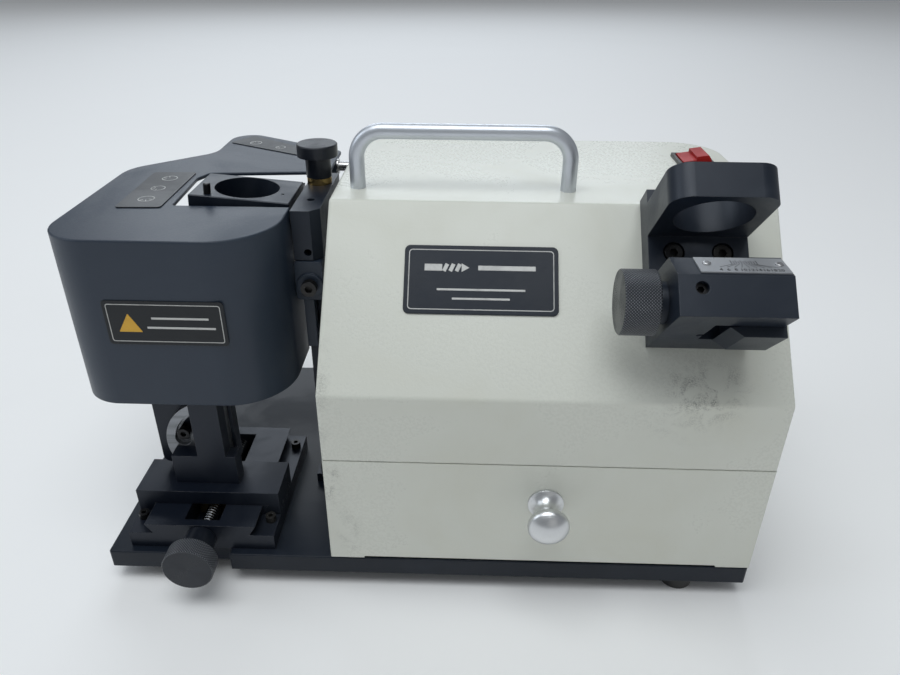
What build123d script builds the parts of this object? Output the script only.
"""Bench re-sharpening machine for drills and end mills, as separate pieces.

Lengths are millimetres and +Z is up. The origin is on the bench, under the
centre of the machine's outline. Most places are given in machine coordinates,
which start at the datum: the bottom centre of the hood's front, on the deck
(the top of the base plate). X runs to the right, Y to the back.
"""

import os
from math import atan2, cos, radians, sin

from build123d import *

os.makedirs("parts", exist_ok=True)

# ---------------------------------------------------------------- dimensions
datum = Vector(70.5, -105.19, 21.5)

# base plate and feet
plate_left, plate_right, plate_depth, plate_t = -250, 119.5, 206, 11.5
foot_h = datum.Z - plate_t
foot_spots = [(84, 12.5), (84, 190), (-225, 48), (-225, 190)]

# sheet-steel casing: drawer case below the seam, hood above it
hood_w, hood_d = 240, 205.5
sheet = 1.5
back_r = 30
seam_z = 71.5
seam_gap = 0.6
crease_z = 112
top_y, top_z = 73.3, 190.2
slope_rise = top_z - crease_z

# bow handle
handle_y = 95
handle_x = (-107, 10.8)
handle_r = 4.3
handle_top = top_z + 31.5
handle_bend = 15

# grinding spindle: its axis runs along X
spin_y, spin_z = 118, 115
shaft_r = 6
wheel_r, wheel_w, wheel_x = 37.5, 16, -176.5
motor_r, motor_left, motor_right = 40, -85, 5

# cross slide: its screw runs along Y
feed_x, feed_z = -195.7, 8
bed_w, bed_h, bed_front, bed_back = 84.6, 10.5, 5, 100
dove_top_w, dove_root_w, dove_h = 64.3, 56, 6.5
saddle_front, saddle_back, saddle_top = 23, 52, 26.5
slide_fit = 0.3
screw_r = 4

# tilting head: its pivot runs along Y
tilt_x, tilt_z = -192.3, 49
sector_r, slot_mid_r, slot_w = 29.3, 19.3, 9.4
post_front, post_back = 31, 41
sector_back = 46
arm_front, arm_back = 46.3, 54
clamp_angle = 159.4

# collet chuck port on the head
port_x, port_y, port_z = -172.8, 104.6, 185.5
port_w, port_d, port_tilt = 56.4, 40, 4.55
port_bore_r = 18.3
port_base = 161

# index plunger beside the port
bracket_left, bracket_right, bracket_top = -142, -126.3, 183
plunger_x, plunger_y = -134.8, 125

# shroud over the wheel
shroud_top, shroud_bottom, shroud_t = 183, 86, 2
shroud_left, shroud_right, shroud_front = -261, -143, 27
hinge_y, hinge_z, hinge_r = 176, 178, 3.2

# setting gauge on the hood's slope: X, distance up the slope, height off it
gauge_left, gauge_w, gauge_reach = 46.6, 50.5, 60
gauge_low, gauge_high, gauge_back_t = 29, 109, 12.6
ring_low, ring_high, ring_bore_r = 84.5, 101.5, 18.6
ring_x, ring_n = gauge_left + gauge_w / 2, 37
block_high, block_chamfer = 60, 12
gauge_screw_s, gauge_screw_n = 42, 36
jaw_left, jaw_right = 77.1, 98.2
jaw_back_n, jaw_front_n = 20.3, 45.5
jaw_travel = (10, 13.5)

# rocker switch on the hood's top
switch_x, switch_y = 96.2, 156.5
switch_w, switch_d = 22.5, 27

# drawer
drawer_knob_z = 45.5
drawer_back = 188

# screws into the base plate, as X and Y on the deck
bed_left, bed_right = feed_x - bed_w / 2, feed_x + bed_w / 2
case_spots = [(-108, 30), (108, 30), (-108, 160), (108, 160)]
bed_spots = [(bed_left + 4.5, 18), (bed_right - 4.5, 18), (bed_left + 4.5, 88), (bed_right - 4.5, 88)]
column_spots = [(-134, 72), (-134, 110)]
column_foot_h = 6
deck_screw_depth = 6


# ------------------------------------------------------------------- helpers
def at(x, y, z):
    """Point of the part's frame for machine coordinates."""
    return datum + Vector(x, y, z)


def level(z):
    """Horizontal plane, drawn on in X and Y."""
    return Plane(origin=at(0, 0, z), x_dir=(1, 0, 0), z_dir=(0, 0, 1))


def across(x):
    """Upright plane that faces right, drawn on in Y and Z."""
    return Plane(origin=at(x, 0, 0), x_dir=(0, 1, 0), z_dir=(1, 0, 0))


def facing(y):
    """Upright plane that faces the back, drawn on in -X and Z."""
    return Plane(origin=at(0, y, 0), x_dir=(-1, 0, 0), z_dir=(0, 1, 0))


def fronting(y):
    """Upright plane that faces the front, drawn on in X and Z."""
    return Plane(origin=at(0, y, 0), x_dir=(1, 0, 0), z_dir=(0, -1, 0))


slope_angle = atan2(slope_rise, top_y)
slope_normal = Vector(0, -sin(slope_angle), cos(slope_angle))
slope_up = Vector(0, cos(slope_angle), sin(slope_angle))


def on_slope(height=0):
    """Plane parallel to the hood's slope, drawn on in X and distance up it."""
    origin = at(0, 0, crease_z) + slope_normal * height
    return Plane(origin=origin, x_dir=(1, 0, 0), z_dir=slope_normal)


def slope_level(s):
    """Plane square to the slope, facing up it, drawn on in -X and height."""
    origin = at(0, 0, crease_z) + slope_up * s
    return Plane(origin=origin, x_dir=(-1, 0, 0), z_dir=slope_up)


def slope_section(x):
    """Plane that faces right, drawn on in distance up the slope and height."""
    return Plane(origin=at(x, 0, crease_z), x_dir=slope_up, z_dir=(1, 0, 0))


def slab(x0, x1, y0, y1, z0, z1, mode=Mode.ADD):
    """Box between two corners in machine coordinates."""
    with Locations(at((x0 + x1) / 2, (y0 + y1) / 2, (z0 + z1) / 2)):
        return Box(x1 - x0, y1 - y0, z1 - z0, mode=mode)


def disc(plane, centres, radius, length, mode=Mode.ADD):
    """Round bars that start on a plane and run along its normal."""
    with BuildSketch(plane) as ends:
        with Locations(*centres):
            Circle(radius)
    return extrude(ends.sketch, amount=length, mode=mode)


def turned(plane, centre, steps):
    """Turned piece: (start, end, radius) steps along a plane's normal."""
    for start, end, radius in steps:
        disc(plane.offset(start), [centre], radius, end - start)


def cap_screws(plane, centres, shank_r, head_r, head_h, length):
    """Socket cap screws, heads standing on a plane that faces outwards."""
    disc(plane.offset(-length), centres, shank_r, length)
    disc(plane, centres, head_r, head_h)
    with BuildSketch(plane.offset(head_h * 0.4)) as sockets:
        with Locations(*centres):
            RegularPolygon(head_r * 0.52, 6)
    extrude(sockets.sketch, amount=head_h, mode=Mode.SUBTRACT)


# ------------------------------------------------------- base plate and feet
with BuildPart() as base_plate:
    slab(plate_left, plate_right, 0, plate_depth, -plate_t, 0)
    fillet(base_plate.edges().filter_by(Axis.Z), 1.5)
    with BuildSketch(level(-plate_t)):
        with Locations((feed_x, 0)):
            RectangleRounded(33, 14.4, 4)
    extrude(amount=plate_t, mode=Mode.SUBTRACT)
    disc(level(-plate_t), foot_spots, 2.5, 7, Mode.SUBTRACT)
    disc(level(-deck_screw_depth - 0.5), case_spots + bed_spots, 2, 10, Mode.SUBTRACT)
    disc(level(-deck_screw_depth - 0.5), column_spots, 2.5, 10, Mode.SUBTRACT)
    chamfer(base_plate.faces().sort_by(Axis.Z)[-1].outer_wire().edges(), 0.5)
base_plate.part.label = "base_plate"
export_step(base_plate.part, "parts/base_plate.step")

with BuildPart() as rubber_feet:
    with BuildSketch(level(-datum.Z)):
        with Locations(*foot_spots):
            Circle(9.2)
    extrude(amount=foot_h, taper=-5)
    disc(level(-plate_t), foot_spots, 2.5, 6.5)
rubber_feet.part.label = "rubber_feet"
export_step(rubber_feet.part, "parts/rubber_feet.step")


# --------------------------------------------------------- sheet-steel casing
def casing_plan(height, inset=0, front=0):
    """Plan of the casing at a height, with its rounded back corners."""
    with BuildSketch(level(height)) as plan:
        with Locations((0, (hood_d - inset + front) / 2)):
            Rectangle(hood_w - 2 * inset, hood_d - inset - front)
        fillet(plan.vertices().group_by(Axis.Y)[-1], back_r - inset)
    return plan.sketch


case_top = seam_z - seam_gap
case_front = 2.6
hood_screw_spots = [(-70, seam_z + 8), (70, seam_z + 8)]
lip_h = 16

with BuildPart() as lower_case:
    extrude(casing_plan(0, 0, case_front), amount=case_top)
    extrude(casing_plan(0, sheet, case_front - 1), amount=case_top - sheet, mode=Mode.SUBTRACT)
    for side in (-1, 1):
        slab(side * 118.5 - 14, side * 118.5 + 14, 20, 170, 0, sheet)
        slab(side * 140 - 20, side * 140 + 20, 0, hood_d, 0, case_top, Mode.SUBTRACT)
    # upstand that the hood's back is screwed to
    slab(-85, 85, hood_d - 2 * sheet - 0.1, hood_d - sheet - 0.1, case_top - sheet, case_top + lip_h)
    disc(level(0), case_spots, 2, sheet, Mode.SUBTRACT)
    disc(facing(hood_d - 6), [(-x, z) for x, z in hood_screw_spots], 1.9, 6, Mode.SUBTRACT)
lower_case.part.label = "lower_case"
export_step(lower_case.part, "parts/lower_case.step")

with BuildPart() as deck_screws:
    disc(level(-deck_screw_depth), case_spots, 2, deck_screw_depth + sheet)
    disc(level(sheet), case_spots, 3.8, 2.4)
    cap_screws(level(bed_h), bed_spots, 2, 3, 4, bed_h + deck_screw_depth)
    cap_screws(level(column_foot_h), column_spots, 2.5, 4.2, 5, column_foot_h + deck_screw_depth)
deck_screws.part.label = "deck_screws"
export_step(deck_screws.part, "parts/deck_screws.step")


def hood_volume(inset):
    """Hood's outer form, or its hollow when drawn in by a sheet thickness."""
    with BuildPart() as volume:
        with BuildSketch(across(-hood_w / 2)) as profile:
            with BuildLine():
                Polyline(
                    (0, seam_z), (0, crease_z), (top_y, top_z), (hood_d, top_z), (hood_d, seam_z),
                    close=True,
                )
            make_face()
            if inset:
                offset(amount=-inset, kind=Kind.INTERSECTION)
                with Locations((hood_d / 2, seam_z + inset)):
                    Rectangle(hood_d - 2 * inset, 4 * inset)
        extrude(amount=hood_w)
        extrude(casing_plan(0, inset, inset), amount=top_z, mode=Mode.INTERSECT)
    return volume.part


bore_side = facing(hood_d - 6)
inlet_x, inlet_z = 62, 100
gauge_holes = [(59.6, 75.8), (84.1, 75.8)]

with BuildPart() as hood:
    add(hood_volume(0))
    creases = hood.edges().filter_by(Axis.X).group_by(Axis.Y)
    fillet(creases[0].sort_by(Axis.Z)[-1:] + creases[1], 3)
    top_rim = hood.faces().sort_by(Axis.Z)[-1].outer_wire().edges()
    fillet(top_rim.filter_by(Axis.X, reverse=True) + top_rim.filter_by(Axis.X).sort_by(Axis.Y)[-1:], 1.4)
    add(hood_volume(sheet), mode=Mode.SUBTRACT)
    disc(across(-hood_w / 2 - 1), [(spin_y, spin_z)], 18, 4, Mode.SUBTRACT)
    disc(across(-hood_w / 2 - 1), [(hinge_y, hinge_z)], hinge_r, 4, Mode.SUBTRACT)
    disc(level(top_z - 3), [(x, handle_y) for x in handle_x], 2.6, 4, Mode.SUBTRACT)
    disc(on_slope(-3), gauge_holes, 2.6, 4, Mode.SUBTRACT)
    disc(bore_side, [(-x, z) for x, z in hood_screw_spots], 1.9, 8, Mode.SUBTRACT)
    slab(switch_x - 9.9, switch_x + 9.9, switch_y - 12, switch_y + 12, top_z - 3, top_z + 1, Mode.SUBTRACT)
    slab(inlet_x - 14, inlet_x + 14, hood_d - 4, hood_d + 1, inlet_z - 10.5, inlet_z + 10.5, Mode.SUBTRACT)
    # louvres in the back for the motor's cooling air
    with BuildSketch(bore_side) as louvres:
        with Locations((40, 128)):
            with GridLocations(0, 7, 1, 6):
                SlotOverall(60, 3)
    extrude(louvres.sketch, amount=8, mode=Mode.SUBTRACT)
hood.part.label = "hood"
export_step(hood.part, "parts/hood.step")

with BuildPart() as hood_screws:
    spots = [(-x, z) for x, z in hood_screw_spots]
    disc(facing(hood_d - 5), spots, 1.9, 5)
    with BuildSketch(facing(hood_d)) as heads:
        with Locations(*spots):
            Circle(3.6)
    extrude(heads.sketch, amount=2, taper=25)
hood_screws.part.label = "hood_screws"
export_step(hood_screws.part, "parts/hood_screws.step")

with BuildPart() as handle:
    with BuildLine(facing(handle_y)) as bow:
        left, right = (-x for x in handle_x)
        FilletPolyline(
            (left, top_z), (left, handle_top), (right, handle_top), (right, top_z), radius=handle_bend
        )
    with BuildSketch(level(top_z)):
        with Locations((handle_x[0], handle_y)):
            Circle(handle_r)
    sweep(path=bow.line)
    disc(level(top_z), [(x, handle_y) for x in handle_x], 2.1, 12, Mode.SUBTRACT)
handle.part.label = "handle"
export_step(handle.part, "parts/handle.step")

with BuildPart() as handle_screws:
    spots = [(x, handle_y) for x in handle_x]
    disc(level(top_z - sheet), spots, 2.1, sheet + 11)
    disc(level(top_z - sheet - 4), spots, 4.2, 4)
handle_screws.part.label = "handle_screws"
export_step(handle_screws.part, "parts/handle_screws.step")

with BuildPart() as nameplate:
    with BuildSketch(on_slope()):
        with Locations((-37.4, 63)):
            RectangleRounded(80.4, 37.4, 3)
    extrude(amount=0.8)
nameplate.part.label = "nameplate"
export_step(nameplate.part, "parts/nameplate.step")

# -------------------------------------------------------------- rocker switch
rocker_r = 9
rocker_pivot_z = top_z + 0.4

with BuildPart() as switch_housing:
    with BuildSketch(level(top_z)):
        with Locations((switch_x, switch_y)):
            RectangleRounded(switch_w, switch_d, 1)
    extrude(amount=2.2, taper=8)
    slab(switch_x - 9.8, switch_x + 9.8, switch_y - 11.9, switch_y + 11.9, top_z - 20, top_z)
    well = (switch_x - 9.3, switch_x + 9.3, switch_y - 10.4, switch_y + 10.4)
    slab(*well, top_z - 9.5, top_z + 3, Mode.SUBTRACT)
    for blade_x in (-6, 0, 6):
        x = switch_x + blade_x
        slab(x - 0.4, x + 0.4, switch_y - 3, switch_y + 3, top_z - 28, top_z - 20)
switch_housing.part.label = "switch_housing"
export_step(switch_housing.part, "parts/switch_housing.step")

rocker_pivot = at(switch_x, switch_y, rocker_pivot_z)

with BuildPart() as switch_rocker:
    with BuildSketch(Plane(origin=rocker_pivot, x_dir=(-1, 0, 0), z_dir=(0, 1, 0))):
        with BuildLine():
            Polyline(
                (-8.6, -2.5), (8.6, -2.5), (8.6, 2.2), (0.8, 3.4), (0.8, 5.4), (-7, 6.6), (-8.6, 5.2),
                close=True,
            )
        make_face()
        Circle(rocker_r, mode=Mode.INTERSECT)
    extrude(amount=10, both=True)
switch_rocker.part.label = "switch_rocker"
export_step(switch_rocker.part, "parts/switch_rocker.step")

# --------------------------------------------------------------- mains inlet
with BuildPart() as power_inlet:
    with BuildSketch(facing(hood_d)):
        with Locations((-inlet_x, inlet_z)):
            RectangleRounded(48, 23, 3)
    extrude(amount=2.4)
    slab(inlet_x - 13.6, inlet_x + 13.6, hood_d - 20, hood_d, inlet_z - 10, inlet_z + 10)
    slab(inlet_x - 12, inlet_x + 12, hood_d - 14, hood_d + 3, inlet_z - 8.2, inlet_z + 8.2, Mode.SUBTRACT)
    for pin_x, pin_z in ((-7, -2), (0, 2), (7, -2)):
        x, z = inlet_x + pin_x, inlet_z + pin_z
        slab(x - 1, x + 1, hood_d - 26, hood_d - 5, z - 2, z + 2)
power_inlet.part.label = "power_inlet"
export_step(power_inlet.part, "parts/power_inlet.step")

# ------------------------------------------------------- motor in the hood
spin_axis = (spin_y, spin_z)

with BuildPart() as motor_body:
    turned(across(0), spin_axis, [(motor_left, motor_right, motor_r)])
    disc(across(motor_left), [spin_axis], 29.5, motor_right - motor_left, Mode.SUBTRACT)
motor_body.part.label = "motor_body"
export_step(motor_body.part, "parts/motor_body.step")

with BuildPart() as motor_end_bells:
    for inner, outer in ((motor_left, motor_left - 13), (motor_right, motor_right + 13)):
        low, high = sorted((inner, outer))
        disc(across(low), [spin_axis], motor_r - 1, high - low)
        disc(across(low), [spin_axis], 13, high - low, Mode.SUBTRACT)
motor_end_bells.part.label = "motor_end_bells"
export_step(motor_end_bells.part, "parts/motor_end_bells.step")

with BuildPart() as motor_cradle:
    slab(-70, -10, spin_y - 34, spin_y + 34, case_top, spin_z - 14)
    disc(across(-80), [spin_axis], motor_r, 80, Mode.SUBTRACT)
motor_cradle.part.label = "motor_cradle"
export_step(motor_cradle.part, "parts/motor_cradle.step")

with BuildPart() as motor_capacitor:
    disc(across(40), [(120, case_top + 18)], 17, 62)
    disc(across(102), [(114, case_top + 18), (126, case_top + 18)], 2, 6)
    slab(45, 97, 108, 132, case_top, case_top + 8)
motor_capacitor.part.label = "motor_capacitor"
export_step(motor_capacitor.part, "parts/motor_capacitor.step")

flange_face = -hood_w / 2 - 3
with BuildPart() as spindle_flange:
    disc(across(flange_face), [spin_axis], 25, 3)
    disc(across(-hood_w / 2), [spin_axis], 17.5, 20)
    disc(across(flange_face), [spin_axis], 7.5, 30, Mode.SUBTRACT)
    disc(across(flange_face + 3), [spin_axis], 12, 30, Mode.SUBTRACT)
    fillet(spindle_flange.edges().filter_by(GeomType.CIRCLE).sort_by(Axis.X)[0], 0.8)
spindle_flange.part.label = "spindle_flange"
export_step(spindle_flange.part, "parts/spindle_flange.step")

with BuildPart() as spindle_bearings:
    for start, width, outer_r in ((-118, 9, 12), (motor_left - 11, 9, 13), (motor_right + 2, 9, 13)):
        disc(across(start), [spin_axis], outer_r, width)
        disc(across(start), [spin_axis], shaft_r + 0.05, width, Mode.SUBTRACT)
spindle_bearings.part.label = "spindle_bearings"
export_step(spindle_bearings.part, "parts/spindle_bearings.step")

# ---------------------------------------- rotor, spindle nose and its wheel
wheel_left, wheel_right = wheel_x - wheel_w / 2, wheel_x + wheel_w / 2
nose_r = 5
flange_w = 4

with BuildPart() as rotor:
    turned(
        across(0),
        spin_axis,
        [
            (wheel_left - 14, wheel_right + flange_w, nose_r),
            (wheel_right + flange_w, motor_right + 12, shaft_r),
            (motor_left + 10, motor_right - 10, 28),
        ],
    )
rotor.part.label = "rotor"
export_step(rotor.part, "parts/rotor.step")

with BuildPart() as wheel_flanges:
    for start in (wheel_left - flange_w, wheel_right):
        disc(across(start), [spin_axis], 18, flange_w)
        disc(across(start), [spin_axis], nose_r, flange_w, Mode.SUBTRACT)
wheel_flanges.part.label = "wheel_flanges"
export_step(wheel_flanges.part, "parts/wheel_flanges.step")

with BuildPart() as grinding_wheel:
    disc(across(wheel_left), [spin_axis], wheel_r, wheel_w)
    chamfer(grinding_wheel.edges().filter_by(GeomType.CIRCLE), 1.5)
    disc(across(wheel_left), [spin_axis], nose_r, wheel_w, Mode.SUBTRACT)
grinding_wheel.part.label = "grinding_wheel"
export_step(grinding_wheel.part, "parts/grinding_wheel.step")

with BuildPart() as wheel_nut:
    with BuildSketch(across(wheel_left - flange_w - 6)):
        with Locations(spin_axis):
            RegularPolygon(9, 6)
            Circle(nose_r, mode=Mode.SUBTRACT)
    extrude(amount=6)
wheel_nut.part.label = "wheel_nut"
export_step(wheel_nut.part, "parts/wheel_nut.step")

# ------------------------------------------------------------- setting gauge
knob_axis = (gauge_screw_s, gauge_screw_n)
gauge_right = gauge_left + gauge_w
slot_left = jaw_left - jaw_travel[0] - 0.6
lock_spot = (57, gauge_screw_s)

with BuildPart() as gauge_body:
    with BuildSketch(slope_section(gauge_left)):
        with BuildLine():
            Polyline(
                (gauge_low, 0), (gauge_high, 0), (gauge_high, 14.6), (ring_low, 14.6),
                (ring_low, gauge_back_t), (block_high, gauge_back_t),
                (block_high, gauge_reach - block_chamfer), (block_high - block_chamfer, gauge_reach),
                (gauge_low, gauge_reach),
                close=True,
            )
        make_face()
    extrude(amount=gauge_w)
    # shelf that holds the chuck ring, its front corners round
    with BuildSketch(slope_level(ring_low)) as shelf:
        with Locations((-ring_x, gauge_reach / 2)):
            Rectangle(gauge_w, gauge_reach)
        fillet(shelf.vertices().group_by(Axis.Y)[-1], 10)
    extrude(amount=ring_high - ring_low)
    disc(slope_level(ring_low - 1), [(-ring_x, ring_n)], ring_bore_r, 20, Mode.SUBTRACT)
    # slot that the jaw slides in, open at the right end
    with BuildSketch(slope_level(gauge_low - 1)):
        with Locations((-(slot_left + gauge_right + 1) / 2, (jaw_back_n + jaw_front_n) / 2)):
            Rectangle(gauge_right + 1 - slot_left, jaw_front_n - jaw_back_n + 0.6)
    extrude(amount=block_high - gauge_low + 2, mode=Mode.SUBTRACT)
    disc(slope_section(gauge_left - 1), [knob_axis], 4.05, gauge_w, Mode.SUBTRACT)
    disc(on_slope(-1), gauge_holes, 2.6, 20, Mode.SUBTRACT)
    disc(on_slope(gauge_back_t - 5.4), gauge_holes, 5.5, 6, Mode.SUBTRACT)
    disc(on_slope(gauge_screw_n), [lock_spot], 3, 30, Mode.SUBTRACT)
    disc(slope_level(gauge_low - 1), [(-65.3, 27.6)], 1.8, 9, Mode.SUBTRACT)
gauge_body.part.label = "gauge_body"
export_step(gauge_body.part, "parts/gauge_body.step")

with BuildPart() as gauge_screws:
    cap_screws(on_slope(gauge_back_t - 5.3), gauge_holes, 2.6, 4.5, 5, 20)
    # set screw that locks the jaw's spindle
    disc(on_slope(gauge_screw_n + 4.2), [lock_spot], 3, 17)
    with BuildSketch(on_slope(gauge_screw_n + 18)) as socket:
        with Locations(lock_spot):
            RegularPolygon(1.7, 6)
    extrude(socket.sketch, amount=4, mode=Mode.SUBTRACT)
gauge_screws.part.label = "gauge_screws"
export_step(gauge_screws.part, "parts/gauge_screws.step")

chamfer_face = Plane(
    origin=at(0, 0, crease_z) + slope_up * (block_high - block_chamfer) + slope_normal * gauge_reach,
    x_dir=(1, 0, 0),
    z_dir=slope_up + slope_normal,
)
scale_t = 0.8
rivet_spots = [(61.3, 9.6), (93.4, 9.6)]

with BuildPart() as gauge_scale:
    with BuildSketch(chamfer_face):
        with Locations((76.7, 8.7)):
            Rectangle(39.6, 14.6)
    extrude(amount=scale_t)
gauge_scale.part.label = "gauge_scale"
export_step(gauge_scale.part, "parts/gauge_scale.step")

with BuildPart() as gauge_rivets:
    disc(chamfer_face.offset(scale_t), rivet_spots, 1.9, 0.7)
    tops = gauge_rivets.faces().sort_by(Axis(datum, slope_up + slope_normal))[-2:]
    fillet(tops.edges(), 0.6)
gauge_rivets.part.label = "gauge_rivets"
export_step(gauge_rivets.part, "parts/gauge_rivets.step")

with BuildPart() as gauge_jaw:
    jaw_mid_n = (jaw_back_n + jaw_front_n) / 2
    with BuildSketch(on_slope(jaw_back_n + 0.3)):
        with BuildLine():
            Polyline(
                (jaw_left - 4, gauge_low - 0.4), (jaw_left + 2, gauge_low - 5), (jaw_right, gauge_low - 5),
                (jaw_right, block_high + 1.6), (jaw_left + 1.6, block_high + 1.6),
                (jaw_left, block_high), (jaw_left, gauge_low - 0.4),
                close=True,
            )
        make_face()
    extrude(amount=jaw_front_n - jaw_back_n - 0.3)
    disc(slope_section(jaw_left - 5), [knob_axis], 4.06, 40, Mode.SUBTRACT)
gauge_jaw.part.label = "gauge_jaw"
export_step(gauge_jaw.part, "parts/gauge_jaw.step")

collar_w = 4
with BuildPart() as gauge_collar:
    disc(slope_section(gauge_left - collar_w), [knob_axis], 10, collar_w)
    disc(slope_section(gauge_left - collar_w), [knob_axis], 4.05, collar_w, Mode.SUBTRACT)
gauge_collar.part.label = "gauge_collar"
export_step(gauge_collar.part, "parts/gauge_collar.step")

gauge_knob_right = gauge_left - collar_w - 0.4
gauge_knob_w, gauge_knob_r = 16.4, 15.5

with BuildPart() as gauge_spindle:
    disc(slope_section(gauge_knob_right - 10), [knob_axis], 4, 10 + gauge_right - gauge_knob_right - 6)
gauge_spindle.part.label = "gauge_spindle"
export_step(gauge_spindle.part, "parts/gauge_spindle.step")

with BuildPart() as gauge_knob:
    disc(slope_section(gauge_knob_right - gauge_knob_w), [knob_axis], gauge_knob_r, gauge_knob_w)
    chamfer(gauge_knob.edges().filter_by(GeomType.CIRCLE), 0.5)
    disc(slope_section(gauge_knob_right - 10), [knob_axis], 4, 11, Mode.SUBTRACT)
gauge_knob.part.label = "gauge_knob"
export_step(gauge_knob.part, "parts/gauge_knob.step")

# --------------------------------------------------------------- cross slide
dove_top = bed_h + dove_h


def dovetail(y0, y1, grow=0.0, gib=0.0, mode=Mode.ADD):
    """Dovetail along Y, grown by a clearance and, on its right, by a gib."""
    root, top = dove_root_w / 2 + grow, dove_top_w / 2 + grow
    with BuildSketch(facing(y0)) as section:
        with Locations((-feed_x, 0)):
            Polygon(
                (-root - gib, bed_h - grow), (root, bed_h - grow),
                (top, dove_top + grow), (-top - gib, dove_top + grow),
                align=None,
            )
    return extrude(section.sketch, amount=y1 - y0, mode=mode)


with BuildPart() as slide_bed:
    slab(bed_left, bed_right, bed_front, bed_back, 0, bed_h)
    dovetail(bed_front, bed_back)
    slab(feed_x - 10.3, feed_x + 10.3, bed_front + 5, bed_back - 8, 3, dove_top + 1, Mode.SUBTRACT)
    disc(facing(bed_front - 1), [(-feed_x, feed_z)], screw_r + 0.05, 8, Mode.SUBTRACT)
    disc(facing(bed_back - 9), [(-feed_x, feed_z)], screw_r + 0.05, 6, Mode.SUBTRACT)
    disc(level(0), bed_spots, 2, bed_h, Mode.SUBTRACT)
slide_bed.part.label = "slide_bed"
export_step(slide_bed.part, "parts/slide_bed.step")

with BuildPart() as lead_screw:
    disc(facing(-16), [(-feed_x, feed_z)], screw_r, bed_back - 5 + 16)
lead_screw.part.label = "lead_screw"
export_step(lead_screw.part, "parts/lead_screw.step")

feed_knob_r, feed_knob_front, feed_knob_back = 14.2, -20, -9.5
with BuildPart() as feed_knob:
    disc(facing(feed_knob_front), [(-feed_x, feed_z)], feed_knob_r, feed_knob_back - feed_knob_front)
    chamfer(feed_knob.edges().filter_by(GeomType.CIRCLE), 0.5)
    disc(facing(feed_knob_back), [(-feed_x, feed_z)], 8.6, bed_front - 0.3 - feed_knob_back)
    disc(facing(-16), [(-feed_x, feed_z)], screw_r, 30, Mode.SUBTRACT)
feed_knob.part.label = "feed_knob"
export_step(feed_knob.part, "parts/feed_knob.step")

gib_t = 3
gib_screws = [(saddle_front + 7, 14), (saddle_back - 7, 14)]

with BuildPart() as saddle:
    slab(bed_left, bed_right, saddle_front, saddle_back, bed_h + 0.4, saddle_top)
    dovetail(saddle_front - 1, saddle_back + 1, slide_fit, gib_t, Mode.SUBTRACT)
    disc(across(bed_right - 12), gib_screws, 1.6, 14, Mode.SUBTRACT)
saddle.part.label = "saddle"
export_step(saddle.part, "parts/saddle.step")

with BuildPart() as gib:
    dovetail(saddle_front, saddle_back, slide_fit, gib_t)
    dovetail(saddle_front - 1, saddle_back + 1, slide_fit, 0, Mode.SUBTRACT)
    slab(bed_left, bed_right, 0, bed_back, 0, bed_h + 0.4, Mode.SUBTRACT)
    disc(across(bed_right - 9.5), gib_screws, 1.6, 9)
gib.part.label = "gib"
export_step(gib.part, "parts/gib.step")

with BuildPart() as feed_nut:
    slab(feed_x - 9.4, feed_x + 9.4, 30, 46, 3.8, dove_top + slide_fit)
    disc(facing(29), [(-feed_x, feed_z)], screw_r + 0.06, 18, Mode.SUBTRACT)
feed_nut.part.label = "feed_nut"
export_step(feed_nut.part, "parts/feed_nut.step")

# --------------------------------------------- post, sector plate and pivot
post_left, post_right, post_top = -200.5, -184, 112
tilt_centre = (-tilt_x, tilt_z)
pin_r = 3.5


def on_slot(angle):
    """Point of the arc slot's centre line, on a plane that faces the back."""
    return (-tilt_x - slot_mid_r * cos(radians(angle)), tilt_z + slot_mid_r * sin(radians(angle)))


with BuildPart() as head_post:
    slab(-216, -178.5, post_front, post_back, saddle_top, 46.5)
    slab(post_left, post_right, post_front, post_back, 46.5, post_top)
    disc(facing(post_back - 6), [tilt_centre], pin_r, 7, Mode.SUBTRACT)
    fillet(head_post.edges().filter_by(Axis.Y).group_by(Axis.Z)[-1], 2)
head_post.part.label = "head_post"
export_step(head_post.part, "parts/head_post.step")

with BuildPart() as sector_plate:
    disc(facing(post_back), [tilt_centre], sector_r, sector_back - post_back)
    slab(-230, -160, post_back - 1, arm_back, 0, saddle_top, Mode.SUBTRACT)
    slab(post_right, -160, post_back - 1, arm_back, 0, 90, Mode.SUBTRACT)
    for width, depth in ((slot_w, 3), (5.8, sector_back - post_back)):
        with BuildSketch(facing(post_back)) as slot:
            with BuildLine() as middle:
                ThreePointArc(on_slot(172), on_slot(138), on_slot(104))
            SlotArc(middle.edge(), width)
        extrude(slot.sketch, amount=depth, mode=Mode.SUBTRACT)
    disc(facing(post_back - 1), [tilt_centre], pin_r, 8, Mode.SUBTRACT)
sector_plate.part.label = "sector_plate"
export_step(sector_plate.part, "parts/sector_plate.step")

with BuildPart() as pivot_pin:
    disc(facing(post_back - 6), [tilt_centre], pin_r, arm_back + 0.3 - post_back + 6)
    disc(facing(arm_back + 0.3), [tilt_centre], 6, 3)
pivot_pin.part.label = "pivot_pin"
export_step(pivot_pin.part, "parts/pivot_pin.step")

# --------------------------------------------------- tilting head and port
port_axis = Vector(sin(radians(port_tilt)), 0, cos(radians(port_tilt)))
port_face = Plane(origin=at(port_x, port_y, port_z), x_dir=Vector(0, 1, 0).cross(port_axis), z_dir=port_axis)
port_t = 20
bore_spot, pin_spot, dot_spot = (-0.3, 0.6), (-18.6, -15.2), (21.6, -5.4)
port_screw_spots = [(-22, 15), (22.5, 15), (22.5, -15)]

arm_left, arm_right, arm_top = -228.5, -182, 174
carrier_t = 4
carrier_right = -147

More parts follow.
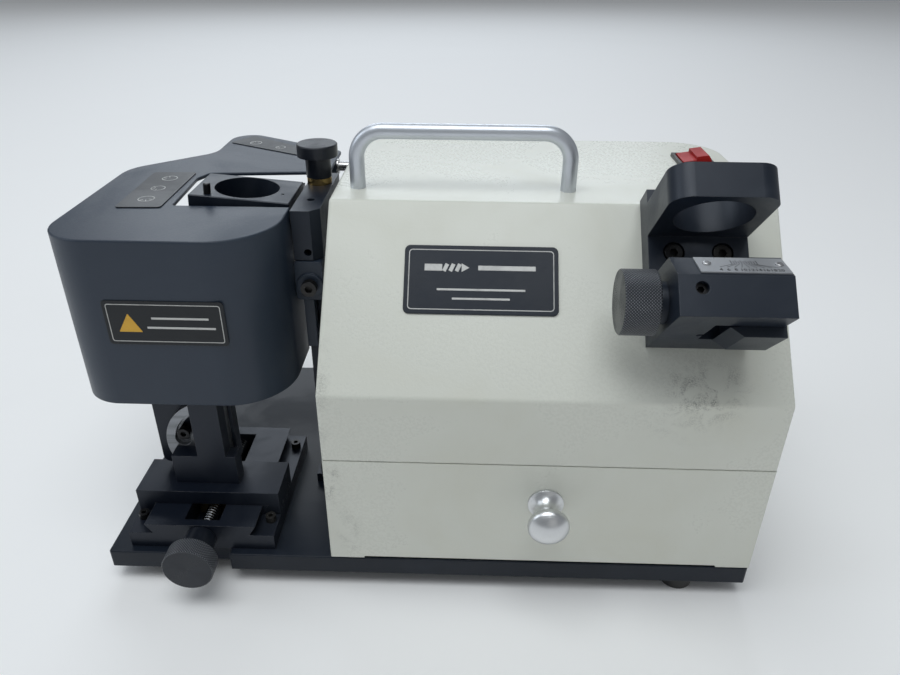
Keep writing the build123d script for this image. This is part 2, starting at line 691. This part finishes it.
with BuildPart() as tilt_arm:
    slab(arm_left, arm_right, arm_front, arm_back, 30, arm_top)
    fillet(tilt_arm.edges().filter_by(Axis.Y), 4)
    # shelf and carrier that reach back over the wheel to the port
    slab(-203, arm_right, arm_front, 88, port_base - carrier_t, port_base)
    slab(-203, carrier_right, 84, 142, port_base - carrier_t, port_base)
    slab(-194, carrier_right, 126, 139, port_base, 178)
    for rib_x in (-203, arm_right - 5):
        slab(rib_x, rib_x + 5, arm_back, 82, port_base, arm_top - 2)
    disc(facing(arm_front - 1), [tilt_centre], pin_r + 0.05, 12, Mode.SUBTRACT)
    disc(facing(arm_front - 1), [on_slot(clamp_angle)], 2.5, 10, Mode.SUBTRACT)
    # wedge that the port block sits on, square to the chuck
    slab(port_x - 28, port_x + 28, port_y - port_d / 2, port_y + port_d / 2, port_base, port_z - 10)
    with Locations(port_face.offset(-port_t)):
        Box(80, port_d + 6, 40, align=(Align.CENTER, Align.CENTER, Align.MIN), mode=Mode.SUBTRACT)
    disc(port_face.offset(-60), [bore_spot], port_bore_r + 1.2, 60, Mode.SUBTRACT)
    disc(port_face.offset(-40), port_screw_spots, 3.1, 16.6, Mode.SUBTRACT)
    disc(port_face.offset(-24), port_screw_spots, 1.8, 6, Mode.SUBTRACT)
tilt_arm.part.label = "tilt_arm"
export_step(tilt_arm.part, "parts/tilt_arm.step")

with BuildPart() as clamp_screw:
    slot_x, slot_z = on_slot(clamp_angle)
    cap_screws(fronting(post_back + 3), [(-slot_x, slot_z)], 2.5, 3.6, 4.4, 11)
clamp_screw.part.label = "clamp_screw"
export_step(clamp_screw.part, "parts/clamp_screw.step")

with BuildPart() as port_block:
    with Locations(port_face):
        Box(port_w, port_d, port_t, align=(Align.CENTER, Align.CENTER, Align.MAX))
    chamfer(port_block.edges(), 0.5)
    disc(port_face.offset(-port_t - 1), [bore_spot], port_bore_r, port_t + 2, Mode.SUBTRACT)
    disc(port_face.offset(-8), [pin_spot], 2, 9, Mode.SUBTRACT)
    disc(port_face.offset(-1.2), [dot_spot], 0.9, 2, Mode.SUBTRACT)
    disc(port_face.offset(-port_t - 1), port_screw_spots, 1.8, port_t - 9, Mode.SUBTRACT)
port_block.part.label = "port_block"
export_step(port_block.part, "parts/port_block.step")

with BuildPart() as port_pin:
    disc(port_face.offset(-8), [pin_spot], 2, 14)
    chamfer(port_pin.edges().sort_by(Axis.Z)[-1], 0.5)
port_pin.part.label = "port_pin"
export_step(port_pin.part, "parts/port_pin.step")

with BuildPart() as port_screws:
    disc(port_face.offset(-26.7), port_screw_spots, 2.9, 3.3)
    disc(port_face.offset(-23.4), port_screw_spots, 1.75, 12.4)
port_screws.part.label = "port_screws"
export_step(port_screws.part, "parts/port_screws.step")

# ------------------------------------------ index plunger and its bracket
lug_front, lug_back, lug_bottom = 80.2, 92, 128
column_top = lug_bottom
pin_base = 150
barrel_bottom, barrel_top = 160, 186.8
spring_bottom, spring_top = 164.2, 180.8
coil_r, coil_h = 3.3, spring_top - spring_bottom - 0.9
plunger_axis = (plunger_x, plunger_y)
bracket_spot = (-134, 93.1)

with BuildPart() as plunger_bracket:
    slab(bracket_left, bracket_right, 73.6, 144, barrel_bottom - 6, bracket_top)
    upright = plunger_bracket.edges().filter_by(Axis.Z)
    chamfer(upright.group_by(Axis.Y)[0].sort_by(Axis.X)[-1], 5)
    slab(bracket_left + 2, bracket_right - 1.7, lug_front, lug_back, lug_bottom, barrel_bottom - 6)
    disc(level(barrel_bottom - 7), [plunger_axis], 5, 31, Mode.SUBTRACT)
    disc(level(bracket_top - 12), [bracket_spot], 2.25, 13, Mode.SUBTRACT)
    disc(facing(lug_front - 8), [(134, 139.2), (134, 158.7)], 2.1, 16, Mode.SUBTRACT)
plunger_bracket.part.label = "plunger_bracket"
export_step(plunger_bracket.part, "parts/plunger_bracket.step")

with BuildPart() as bracket_column:
    slab(bracket_left + 2, bracket_right - 1.7, 84, 98, 0, column_top)
    slab(bracket_left + 2, bracket_right - 1.7, lug_back, 98, column_top, barrel_bottom - 6)
    slab(bracket_left + 2, bracket_right - 1.7, 66, 116, 0, column_foot_h)
    disc(level(0), column_spots, 2.5, column_foot_h, Mode.SUBTRACT)
bracket_column.part.label = "bracket_column"
export_step(bracket_column.part, "parts/bracket_column.step")

with BuildPart() as stop_arm:
    slab(-142.5, -126.5, 72.4, lug_front, 130, barrel_bottom - 6.4)
    fillet(stop_arm.edges().filter_by(Axis.Y), 2)
    slab(-139, -133, 74, lug_front, 98, 134)
    disc(facing(71), [(134, 139.2)], 7.5, 3)
    disc(facing(70), [(134, 139.2)], 2.15, 12, Mode.SUBTRACT)
stop_arm.part.label = "stop_arm"
export_step(stop_arm.part, "parts/stop_arm.step")

with BuildPart() as stop_screw:
    cap_screws(fronting(71), [(-134, 139.2)], 2.1, 4.5, 4.5, 16)
stop_screw.part.label = "stop_screw"
export_step(stop_screw.part, "parts/stop_screw.step")

with BuildPart() as plunger_barrel:
    turned(level(0), plunger_axis, [(barrel_bottom, bracket_top, 5), (bracket_top, barrel_top, 7.3)])
    disc(level(barrel_bottom + 1), [plunger_axis], 4.3, 20, Mode.SUBTRACT)
    disc(level(barrel_bottom - 1), [plunger_axis], 2.55, 30, Mode.SUBTRACT)
plunger_barrel.part.label = "plunger_barrel"
export_step(plunger_barrel.part, "parts/plunger_barrel.step")

with BuildPart() as index_plunger:
    turned(
        level(0),
        plunger_axis,
        [
            (pin_base, barrel_top + 2, 2.5), (spring_bottom - 2.2, spring_bottom - 0.2, 4),
            (187, 199.5, 7.5), (199.5, 206.7, 12),
        ],
    )
    chamfer(index_plunger.faces().sort_by(Axis.Z)[0].edges(), 0.6)
    chamfer(index_plunger.faces().sort_by(Axis.Z)[-1].edges(), 0.6)
index_plunger.part.label = "index_plunger"
export_step(index_plunger.part, "parts/index_plunger.step")

with BuildPart() as plunger_spring:
    with BuildLine(Plane(origin=at(plunger_x, plunger_y, spring_bottom + 0.45))):
        Helix(pitch=coil_h / 6, height=coil_h, radius=coil_r)
    with BuildSketch(Plane(origin=at(plunger_x + coil_r, plunger_y, spring_bottom + 0.45), z_dir=(0, 1, 0))):
        Circle(0.42)
    sweep(is_frenet=True)
plunger_spring.part.label = "plunger_spring"
export_step(plunger_spring.part, "parts/plunger_spring.step")


# -------------------------------------------------------- shroud and hinge
knuckle_left, knuckle_right = -155, -133
shroud_back = 133
hinge_axis = (hinge_y, hinge_z)


def rounded_plan(height, corners):
    """Plan at a height with (x, y, radius) corners."""
    with BuildSketch(level(height)) as plan:
        Polygon(*[(x, y) for x, y, radius in corners], align=None)
        for x, y, radius in corners:
            if radius:
                fillet(plan.vertices().sort_by_distance((x, y, 0))[0], radius)
    return plan.sketch


def wall_plan(inset, back):
    """Plan of the shroud's walls, drawn in from their outer face."""
    left, right, front = shroud_left + inset, shroud_right - inset, shroud_front + inset
    corners = [(left, back, 0), (left, front, 25 - inset), (right, front, 35 - inset), (right, back, 0)]
    return rounded_plan(shroud_bottom, corners)


shroud_top_corners = [
    (shroud_left, shroud_front, 25), (shroud_right, shroud_front, 35), (shroud_right, 80, 0),
    (-208.6, 80, 2), (-211, 129, 6), (-206.4, 140, 4), (-147, 146, 0),
    (knuckle_right, 146, 0), (knuckle_right, 196, 4), (-217, 246, 14), (-217, 187, 18),
    (shroud_left, 147, 25),
]

with BuildPart() as shroud:
    extrude(wall_plan(0, shroud_back), amount=shroud_top - shroud_bottom)
    extrude(wall_plan(shroud_t, shroud_back + 1), amount=shroud_top - shroud_bottom, mode=Mode.SUBTRACT)
    # right wall is cut back above the chuck's swing
    with BuildSketch(across(shroud_right - shroud_t - 1)):
        Polygon(
            (92, shroud_bottom - 1), (92, 130), (80, 150), (80, shroud_top + 1),
            (shroud_back + 1, shroud_top + 1), (shroud_back + 1, shroud_bottom - 1),
            align=None,
        )
    extrude(amount=shroud_t + 2, mode=Mode.SUBTRACT)
    extrude(rounded_plan(shroud_top - shroud_t, shroud_top_corners), amount=shroud_t)
    fillet(shroud.faces().sort_by(Axis.Z)[-1].outer_wire().edges(), 0.8)
    disc(across(knuckle_left), [hinge_axis], 5, knuckle_right - knuckle_left)
    slab(knuckle_left, knuckle_right, hinge_y - 5, hinge_y + 5, hinge_z, shroud_top - 0.4)
    disc(across(knuckle_left - 1), [hinge_axis], hinge_r + 0.05, 24, Mode.SUBTRACT)
shroud.part.label = "shroud"
export_step(shroud.part, "parts/shroud.step")

label_t = 0.6
with BuildPart() as shroud_plates:
    with BuildSketch(fronting(shroud_front)) as front_label:
        with Locations((-200.75, 137.5)):
            RectangleRounded(63.3, 25.6, 2)
    extrude(front_label.sketch, amount=label_t)
    for corners in (
        [(-238, 73.6, 2), (-213.3, 74.8, 2), (-214.5, 139.4, 2), (-240.4, 138, 2)],
        [(-214, 211.5, 2), (-158.6, 181, 2), (-155, 196, 2), (-202, 230.5, 2)],
    ):
        extrude(rounded_plan(shroud_top, corners), amount=label_t)
shroud_plates.part.label = "shroud_plates"
export_step(shroud_plates.part, "parts/shroud_plates.step")

rod_left, rod_right = knuckle_left + 0.5, -hood_w / 2 + sheet + 0.8
with BuildPart() as hinge_rod:
    disc(across(rod_left), [hinge_axis], hinge_r, rod_right - rod_left)
    disc(across(rod_right), [hinge_axis], 6, 4)
    chamfer(hinge_rod.edges().sort_by(Axis.X)[0], 0.6)
hinge_rod.part.label = "hinge_rod"
export_step(hinge_rod.part, "parts/hinge_rod.step")

with BuildPart() as hinge_clip:
    disc(across(knuckle_right + 0.3), [hinge_axis], 4.9, 1.2)
    disc(across(knuckle_right + 0.3), [hinge_axis], hinge_r, 1.2, Mode.SUBTRACT)
hinge_clip.part.label = "hinge_clip"
export_step(hinge_clip.part, "parts/hinge_clip.step")

# ------------------------------------------------------------------- drawer
drawer_sheet = 2
tray_half, tray_low, tray_high, tray_sheet = 112, 6, 62, 1.2
knob_x = 0.6

with BuildPart() as drawer_front:
    slab(-hood_w / 2, hood_w / 2, 0, drawer_sheet, 0.6, case_top)
    fillet(drawer_front.edges().filter_by(Axis.Z).group_by(Axis.Y)[0], 1)
    slab(-100.5, 100.5, -1, drawer_sheet + 1, 0, 1.8, Mode.SUBTRACT)
    disc(facing(-1), [(-knob_x, drawer_knob_z)], 2.1, 4, Mode.SUBTRACT)
drawer_front.part.label = "drawer_front"
export_step(drawer_front.part, "parts/drawer_front.step")

with BuildPart() as drawer_tray:
    slab(-tray_half, tray_half, drawer_sheet, drawer_back, tray_low, tray_high)
    inner = tray_half - tray_sheet
    slab(
        -inner, inner, drawer_sheet + tray_sheet, drawer_back - tray_sheet,
        tray_low + tray_sheet, tray_high + 1, Mode.SUBTRACT,
    )
    disc(facing(0), [(-knob_x, drawer_knob_z)], 5, 6, Mode.SUBTRACT)
drawer_tray.part.label = "drawer_tray"
export_step(drawer_tray.part, "parts/drawer_tray.step")

with BuildPart() as drawer_rails:
    for side in (-1, 1):
        outer, ledge = side * (hood_w / 2 - sheet), side * (tray_half - 4)
        low, high = sorted((outer, ledge))
        slab(low, high, 12, 170, 4.1, 5.6)
        low, high = sorted((outer, outer - side * 1.5))
        slab(low, high, 12, 170, 4.1, 34)
drawer_rails.part.label = "drawer_rails"
export_step(drawer_rails.part, "parts/drawer_rails.step")

with BuildPart() as drawer_knob:
    knob_centre = at(knob_x, 0, drawer_knob_z)
    with BuildSketch(Plane(origin=knob_centre, x_dir=(0, 1, 0), z_dir=(1, 0, 0))):
        with BuildLine():
            dome = CenterArc((-11.4, 0), 13.6, 131.4, 48.6)
            Polyline(dome @ 1, (-10, 0), (-10, 2), (0, 2), (0, 9.75), (-1.4, 9.75))
            ThreePointArc((-1.4, 9.75), (-8.5, 5), (-15.6, 10.4))
            ThreePointArc((-15.6, 10.4), (-18, 11.1), dome @ 0)
        make_face()
    revolve(axis=Axis(knob_centre, (0, 1, 0)))
drawer_knob.part.label = "drawer_knob"
export_step(drawer_knob.part, "parts/drawer_knob.step")

with BuildPart() as drawer_knob_screw:
    disc(facing(-9.5), [(-knob_x, drawer_knob_z)], 2, 9.5 + drawer_sheet)
    disc(facing(drawer_sheet), [(-knob_x, drawer_knob_z)], 4.2, 2.6)
drawer_knob_screw.part.label = "drawer_knob_screw"
export_step(drawer_knob_screw.part, "parts/drawer_knob_screw.step")
